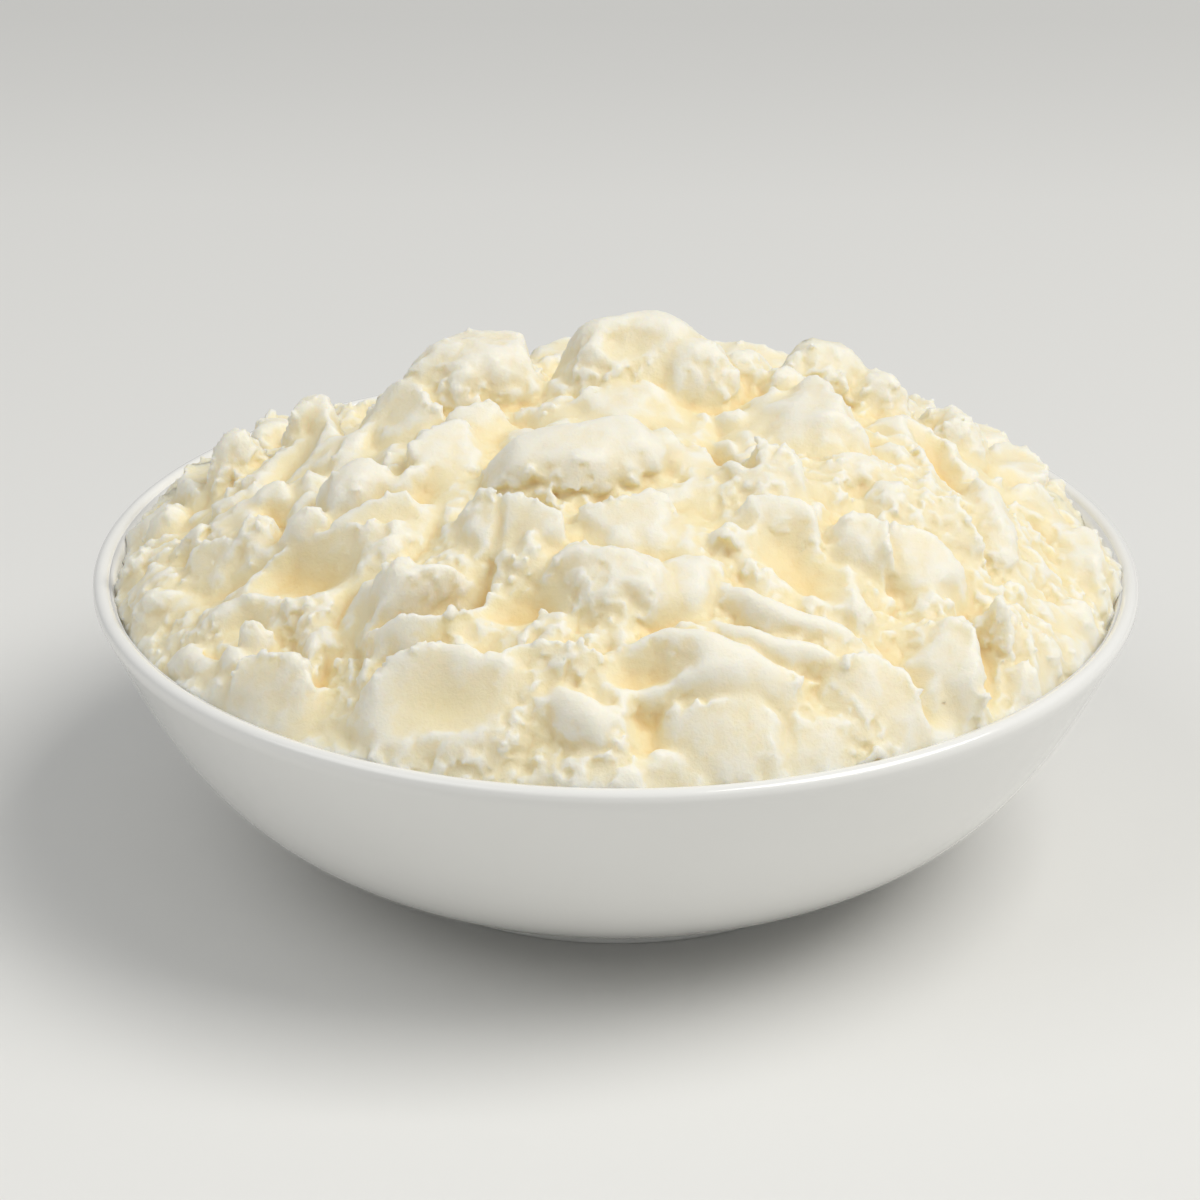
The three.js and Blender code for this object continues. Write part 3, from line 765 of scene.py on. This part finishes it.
def shards(points, size, seed):
    # one random move for each broken piece, the same all through the piece
    chosen, seed = nearestGrain(points, size, seed)[1], seed + seeds["shardMove"]
    return 2 * np.stack([hashed(chosen, seed + axis) for axis in range(3)], axis=1) - 1


crumbFinish = {  # millimetres
    "settle": 2,  # smoothing rounds before the surface tears
    "crisp": 0.25,  # how far creases and crests are sharpened
    "crispRounds": 30,
    "crestRounds": 24,  # smoothing rounds that find the crests
    "crestHeight": 0.35,  # a crest this high is a full one
    "crestFloor": 0.1,
    "crestTorn": 0.7,  # how rough a full crest is
    "leastCrest": 0.15,  # share of that where nothing round it is torn
    "patches": (12, 0.65, 1.2),  # size of the patches that are more and less torn, their mean and spread
    "leastPatch": 0.1,
    "allOver": 0.1,  # how rough it is everywhere
    "whereTorn": 0.8,  # and how much rougher where it is torn
    "moved": 0.6,  # share of the tearing that reaches the rough parts
    "tears": ((6.0, 0.9), (2.6, 0.4)),  # size and reach of the tearing
    "shards": ((3.6, 0.6), (1.7, 0.45)),  # size and reach of the pieces it breaks into
    "crumbs": ((1.7, 0.1), (0.9, 0.14)),  # size and height of the crumbs there and on the crests
    "grain": (0.9, 0.08),  # and of the grain all over
}


def roughen(piece, finish):
    # torn parts and crests break up and swell into grains
    mesh = piece.data
    ends = edgeEnds(mesh)
    coords = smoothed(readCoords(mesh) / mm, ends, finish["settle"])
    torn = readLayer(mesh, "torn")
    sheet = torn > 0
    coords[sheet] += finish["crisp"] * (coords - smoothed(coords, ends, finish["crispRounds"]))[sheet]
    writeCoords(mesh, coords * mm)
    normals = readNormals(mesh)
    raised = np.einsum("ij,ij->i", coords - smoothed(coords, ends, finish["crestRounds"]), normals)
    crest = np.clip(raised / finish["crestHeight"] - finish["crestFloor"], 0, 1)
    size, mean, spread = finish["patches"]
    patch = np.clip(mean + spread * solidNoise(coords, size, seeds["patches"]), finish["leastPatch"], 1)
    onCrest = finish["crestTorn"] * crest * np.clip(2 * torn, finish["leastCrest"], 1)
    rough = np.clip(finish["allOver"] + finish["whereTorn"] * torn * patch + onCrest, 0, 1)
    rough = np.where(sheet, rough, 0)
    loose = np.where(sheet, np.clip(torn * patch, 0, 1), 0)
    share = np.maximum(loose, finish["moved"] * rough)[:, None]
    for size, reach in finish["tears"]:
        seed = seeds["tears"] + size
        pull = np.stack([solidNoise(coords, size, seed + axis) for axis in range(3)], axis=1)
        coords = coords + share * reach * pull
    for size, reach in finish["shards"]:
        coords = coords + share * reach * shards(coords, size, seeds["shards"] + size)
    lift = 0
    for size, height in finish["crumbs"]:
        lift = lift + rough * height * granules(coords, size, seed=10 * size)
    writeCoords(mesh, (coords + normals * lift[:, None]) * mm)
    writeLayer(mesh, "torn", rough)


looseFinish = {  # crumbs that lie where the mash is most torn, millimetres
    "sizes": ((60, 0.9, 1.3), (700, 0.5, 0.8), (3000, 0.3, 0.5)),  # count, smallest and largest radius
    "rounds": 2,  # subdivisions of the ball that each one starts from
    "squeeze": (0.6, 1.4),
    "dent": (0.6, 1.25),
    "sink": (-0.5, 0.5),  # how far its middle stands off the surface, in its own radii
    "leastTorn": 0.3,
    "patches": (6, 0.3, 1.3),  # size of the patches with more and fewer, their mean and spread
}


def scatterCrumbs(heap, finish):
    # one round crumb, copied, and then each squeezed, dented and turned in its own way
    draw = np.random.default_rng(seeds["looseDraw"])
    radius = np.concatenate([draw.uniform(small, large, many) for many, small, large in finish["sizes"]])
    count = len(radius)
    build = bmesh.new()
    bmesh.ops.create_icosphere(build, subdivisions=finish["rounds"], radius=1)
    crumbs = addObject("crumbs", finishBuild(build, "crumbs"))
    ball = readCoords(crumbs.data)
    array = crumbs.modifiers.new("copies", "ARRAY")
    array.count = count
    array.use_relative_offset = False
    applyModifiers(crumbs)
    coords, normals = readCoords(heap.data) / mm, readNormals(heap.data)
    torn = np.clip(readLayer(heap.data, "torn") - finish["leastTorn"], 0, 1)
    size, mean, spread = finish["patches"]
    weight = torn**2 * np.clip(mean + spread * solidNoise(coords, size, seeds["loosePatches"]), 0, 1)
    place = draw.choice(len(coords), count, p=weight / weight.sum())
    turn = np.linalg.qr(draw.normal(size=(count, 3, 3)))[0]
    turn *= np.sign(np.linalg.det(turn))[:, None, None]
    squeeze = draw.uniform(*finish["squeeze"], (count, 3))
    dent = draw.uniform(*finish["dent"], (count, len(ball)))
    shape = ball[None] * squeeze[:, None] * dent[:, :, None] * radius[:, None, None]
    shape = np.einsum("nij,nkj->nki", turn, shape)
    middle = coords[place] + normals[place] * (draw.uniform(*finish["sink"], count) * radius)[:, None]
    writeCoords(crumbs.data, (shape + middle[:, None]).reshape(-1, 3) * mm)
    return crumbs


def joinInto(piece, other):
    build = bmesh.new()
    build.from_mesh(piece.data)
    build.from_mesh(other.data)
    build.to_mesh(piece.data)
    build.free()
    bpy.data.objects.remove(other)


def grainSurface(piece, finish):
    size, height = finish["grain"]
    coords = readCoords(piece.data) / mm
    coords += readNormals(piece.data) * (height * solidNoise(coords, size, seeds["grain"]))[:, None]
    writeCoords(piece.data, coords * mm)


room = {  # millimetres
    "wallMore": 0.05,  # how much further than the sheet's edge anything may reach into the wall
    "wallSoftness": 0.25,
    "topGap": 0.1,  # the top stays this far under the solid's
    "topSoftness": 1,
}


def softLimit(values, limit, softness):
    past = np.maximum(values - limit + softness, 0) / softness
    return values + softness * (1 - np.exp(-past) - past)


def keepInside(piece):
    # nothing leaves the bowl through its wall, or stands above the solid that it replaces
    tiny = 1e-6  # so that nothing is divided by zero at the middle
    coords = readCoords(piece.data) / mm
    radius = np.hypot(coords[:, 0], coords[:, 1])
    limit = wallRadius(coords[:, 2], innerWall(heapShape["clearance"] - room["wallMore"]))
    held = softLimit(radius, limit, room["wallSoftness"])
    coords[:, :2] *= (held / np.maximum(radius, tiny))[:, None]
    top = cadBox[1][2] / mm - room["topGap"]
    coords[:, 2] = softLimit(coords[:, 2], top, room["topSoftness"])
    writeCoords(piece.data, coords * mm)


def cutHeap(piece, name, side):
    # the half in front of the cut, or behind it, closed again
    build = bmesh.new()
    build.from_mesh(piece.data)
    cut = bmesh.ops.bisect_plane(
        build, geom=build.verts[:] + build.edges[:] + build.faces[:], dist=mergeDistance,
        plane_co=(0, heapShape["cut"] * mm, 0), plane_no=(0, side, 0), clear_outer=True,
    )["geom_cut"]
    rim = [part for part in cut if isinstance(part, bmesh.types.BMEdge)]
    bmesh.ops.contextual_create(build, geom=rim)
    bmesh.ops.recalc_face_normals(build, faces=build.faces)
    return addObject(name, finishBuild(build, name))


surfaceMarks = {  # smoothing rounds and millimetres
    "closeRounds": 20,
    "crest": 0.5,  # a crest this high is a full one
    "broadRounds": 140,
    "rise": 3.0,
    "fade": 6,  # how far from the cut the marks fade out
}


def markSurface(piece, marks):
    # crest and hollow, read by the potato material for its painted highlight on the crests and painted shade
    # in the hollows
    mesh = piece.data
    coords, normals, ends = readCoords(mesh) / mm, readNormals(mesh), edgeEnds(mesh)
    fade = np.clip(np.abs(coords[:, 1] - heapShape["cut"]) / marks["fade"], 0, 1)
    for name, rounds in (("crest", marks["closeRounds"]), ("rise", marks["broadRounds"])):
        raised = np.einsum("ij,ij->i", coords - smoothed(coords, ends, rounds), normals)
        writeLayer(mesh, name, fade * np.clip(raised / marks[name], -1, 1))


mash = makeHeap(heapShape)
print("heap pressed from", len(spoonfuls), "spoonfuls")
sheetCoords, sheetTorn = readCoords(mash.data) / mm, readLayer(mash.data, "torn")
remesh(mash, heapShape["firstVoxel"])
spreadTorn(mash, sheetCoords[sheetTorn > 0], sheetTorn[sheetTorn > 0])
roughen(mash, crumbFinish)
print("mash torn,", len(mash.data.vertices), "vertices")
joinInto(mash, scatterCrumbs(mash, looseFinish))
remesh(mash, heapShape["voxel"])
grainSurface(mash, crumbFinish)
print("crumbs joined,", len(mash.data.vertices), "vertices")
mashPieces = [cutHeap(mash, "mashFront", 1), cutHeap(mash, "mashBack", -1)]
bpy.data.objects.remove(mash)
for piece in mashPieces:
    decimate(piece, heapShape["faces"])
    keepInside(piece)
    shadeSmooth(piece.data)
    markSurface(piece, surfaceMarks)
print("mash finished,", [len(piece.data.polygons) for piece in mashPieces], "faces")


def newMaterial(name):
    material = bpy.data.materials.new(name)
    material.use_nodes = True
    tree = material.node_tree
    return material, tree, tree.nodes["Principled BSDF"]


def addNode(tree, kind, **settings):
    node = tree.nodes.new(kind)
    for name, value in settings.items():
        if name in node.inputs:
            node.inputs[name].default_value = value
        else:
            setattr(node, name, value)
    return node


def addRange(tree, ends):
    node = addNode(tree, "ShaderNodeMapRange")
    node.inputs["From Min"].default_value, node.inputs["From Max"].default_value = ends
    return node


def addRamp(tree, stops):
    # stops: place along the ramp and colour
    node = addNode(tree, "ShaderNodeValToRGB")
    elements = node.color_ramp.elements
    while len(elements) < len(stops):
        elements.new(0.5)  # each gets its own place below
    for element, (position, colour) in zip(elements, stops):
        element.position = position
        element.color = (*colour, 1)
    return node


def addBump(tree, shader, place, noise, bump):
    wave = addNode(tree, "ShaderNodeTexNoise", **noise)
    relief = addNode(tree, "ShaderNodeBump", **bump)
    tree.links.new(place.outputs["Object"], wave.inputs["Vector"])
    tree.links.new(wave.outputs["Fac"], relief.inputs["Height"])
    tree.links.new(relief.outputs["Normal"], shader.inputs["Normal"])


def setInputs(node, values):
    for name, value in values.items():
        node.inputs[name].default_value = value


whiteGlaze = {
    "tints": ((0, (0.80, 0.795, 0.765)), (1, (0.83, 0.825, 0.80))),
    "cloud": {"Scale": 22.0, "Detail": 3.0},
    "wave": {"Scale": 60.0, "Detail": 2.0},
    "bump": {"Strength": 0.05, "Distance": 0.0006},
    "shader": {"Roughness": 0.12, "Coat Weight": 0.4, "Coat Roughness": 0.03},
}


def makeGlaze(finish):
    material, tree, shader = newMaterial("whiteGlaze")
    place = addNode(tree, "ShaderNodeTexCoord")
    cloud = addNode(tree, "ShaderNodeTexNoise", **finish["cloud"])
    tint = addRamp(tree, finish["tints"])
    tree.links.new(place.outputs["Object"], cloud.inputs["Vector"])
    tree.links.new(cloud.outputs["Fac"], tint.inputs["Fac"])
    tree.links.new(tint.outputs["Color"], shader.inputs["Base Color"])
    addBump(tree, shader, place, finish["wave"], finish["bump"])
    setInputs(shader, finish["shader"])
    return material


potatoFinishPaintedShadeAndHighlight = {
    "tints": ((0, (0.84, 0.648, 0.31)), (0.42, (0.85, 0.752, 0.485)), (1, (0.828, 0.77, 0.60))),  # painted shade by depth: darker and deeper yellow towards the hollows
    "depth": (-0.9, 0.5),  # where the painted shade runs, from the deepest hollow to the open surface
    # painted highlight: the crests are paler
    "paintedHighlightTint": (0.828, 0.80, 0.695),
    "crest": (0.0, 0.9),  # where the painted highlight runs, from a flat face to a full crest
    "grain": {"Scale": 1500.0, "Detail": 4.0, "Roughness": 0.6},
    "bump": {"Strength": 0.5, "Distance": 0.0003},
    "shader": {
        "Roughness": 0.5,
        "Subsurface Weight": 0.6,
        "Subsurface Radius": (1.0, 0.85, 0.58),
        "Subsurface Scale": 0.0050,
        "Specular IOR Level": 0.35,
    },
}


def makePotatoPaintedShadeAndHighlight(finish):
    # painted shade, deeper yellow and darker in the hollows, and a painted highlight, paler on the crests
    material, tree, shader = newMaterial("potato")
    place = addNode(tree, "ShaderNodeTexCoord")
    rise = addNode(tree, "ShaderNodeAttribute", attribute_name="rise")
    crest = addNode(tree, "ShaderNodeAttribute", attribute_name="crest")
    depth, crumb = addRange(tree, finish["depth"]), addRange(tree, finish["crest"])
    # the painted shade: body colour by depth
    body = addRamp(tree, finish["tints"])
    # the painted highlight mixes the crests paler
    paintedHighlight = addNode(tree, "ShaderNodeMix", data_type="RGBA")
    below, above, mixed = paintedHighlight.inputs[6], paintedHighlight.inputs[7], paintedHighlight.outputs[2]  # its colour sockets
    above.default_value = (*finish["paintedHighlightTint"], 1)
    tree.links.new(rise.outputs["Fac"], depth.inputs["Value"])
    tree.links.new(depth.outputs["Result"], body.inputs["Fac"])
    tree.links.new(crest.outputs["Fac"], crumb.inputs["Value"])
    tree.links.new(crumb.outputs["Result"], paintedHighlight.inputs["Factor"])
    tree.links.new(body.outputs["Color"], below)
    tree.links.new(mixed, shader.inputs["Base Color"])
    addBump(tree, shader, place, finish["grain"], finish["bump"])
    setInputs(shader, finish["shader"])
    return material


tablePaintedFalloff = {  # painted shade: the table darkens from the front to the back, standing in for the light falling off, by metres along Y
    "size": 4,
    "reach": (-0.133, 0.573),
    "paintedFalloffTones": ((0.0, 0.75), (0.244, 0.725), (0.487, 0.70), (0.746, 0.675), (0.908, 0.614), (1.0, 0.59)),
    "warmth": (1, 0.995, 0.965),
    "roughness": 0.8,
}


def makeFloor(table):
    build = bmesh.new()
    bmesh.ops.create_grid(build, x_segments=2, y_segments=2, size=table["size"])
    floor = addObject("floor", finishBuild(build, "floor"))
    material, tree, shader = newMaterial("paleTableWithPaintedFalloff")
    place = addNode(tree, "ShaderNodeTexCoord")
    parts = addNode(tree, "ShaderNodeSeparateXYZ")
    share = addRange(tree, table["reach"])
    stops = [(position, [tone * part for part in table["warmth"]]) for position, tone in table["paintedFalloffTones"]]
    tint = addRamp(tree, stops)
    tree.links.new(place.outputs["Object"], parts.inputs["Vector"])
    tree.links.new(parts.outputs["Y"], share.inputs["Value"])
    tree.links.new(share.outputs["Result"], tint.inputs["Fac"])
    tree.links.new(tint.outputs["Color"], shader.inputs["Base Color"])
    shader.inputs["Roughness"].default_value = table["roughness"]
    floor.data.materials.append(material)


bowl.data.materials.append(makeGlaze(whiteGlaze))
potato = makePotatoPaintedShadeAndHighlight(potatoFinishPaintedShadeAndHighlight)
for piece in mashPieces:
    piece.data.materials.clear()
    piece.data.materials.append(potato)
makeFloor(tablePaintedFalloff)

stands = [(bowl, "bowl", "porcelain")] + [(piece, "mash", "potato") for piece in mashPieces]
for piece, node, slotName in stands:
    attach(piece, "root")
    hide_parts(node)
print("materials on, pieces on the frame")

# soft daylight from the upper right, and a little from the left
softLights = {
    "key": {"place": (1.598, -0.340, 2.516), "size": 1.9, "power": 64.0, "colour": (1, 0.985, 0.955)},
    "fill": {"place": (-1.5, -0.7, 2.0), "size": 1.8, "power": 12.0, "colour": (0.98, 0.99, 1)},
}
aim = Vector((0, 0, 0.05))  # both lights face the heap
surroundings = {"Color": (0.96, 0.97, 0.98, 1), "Strength": 0.42}


def addArea(name, setup):
    light = bpy.data.lights.new(name, "AREA")
    light.size = setup["size"]
    light.energy = setup["power"]
    light.color = setup["colour"]
    holder = addObject(name, light)
    holder.location = setup["place"]
    holder.rotation_euler = (aim - Vector(setup["place"])).to_track_quat("-Z", "Y").to_euler()


for name, setup in softLights.items():
    addArea(name, setup)
world = bpy.data.worlds.new("world")
world.use_nodes = True
setInputs(world.node_tree.nodes["Background"], surroundings)
scene.world = world
scene.view_settings.view_transform = "Standard"
print("lights set")
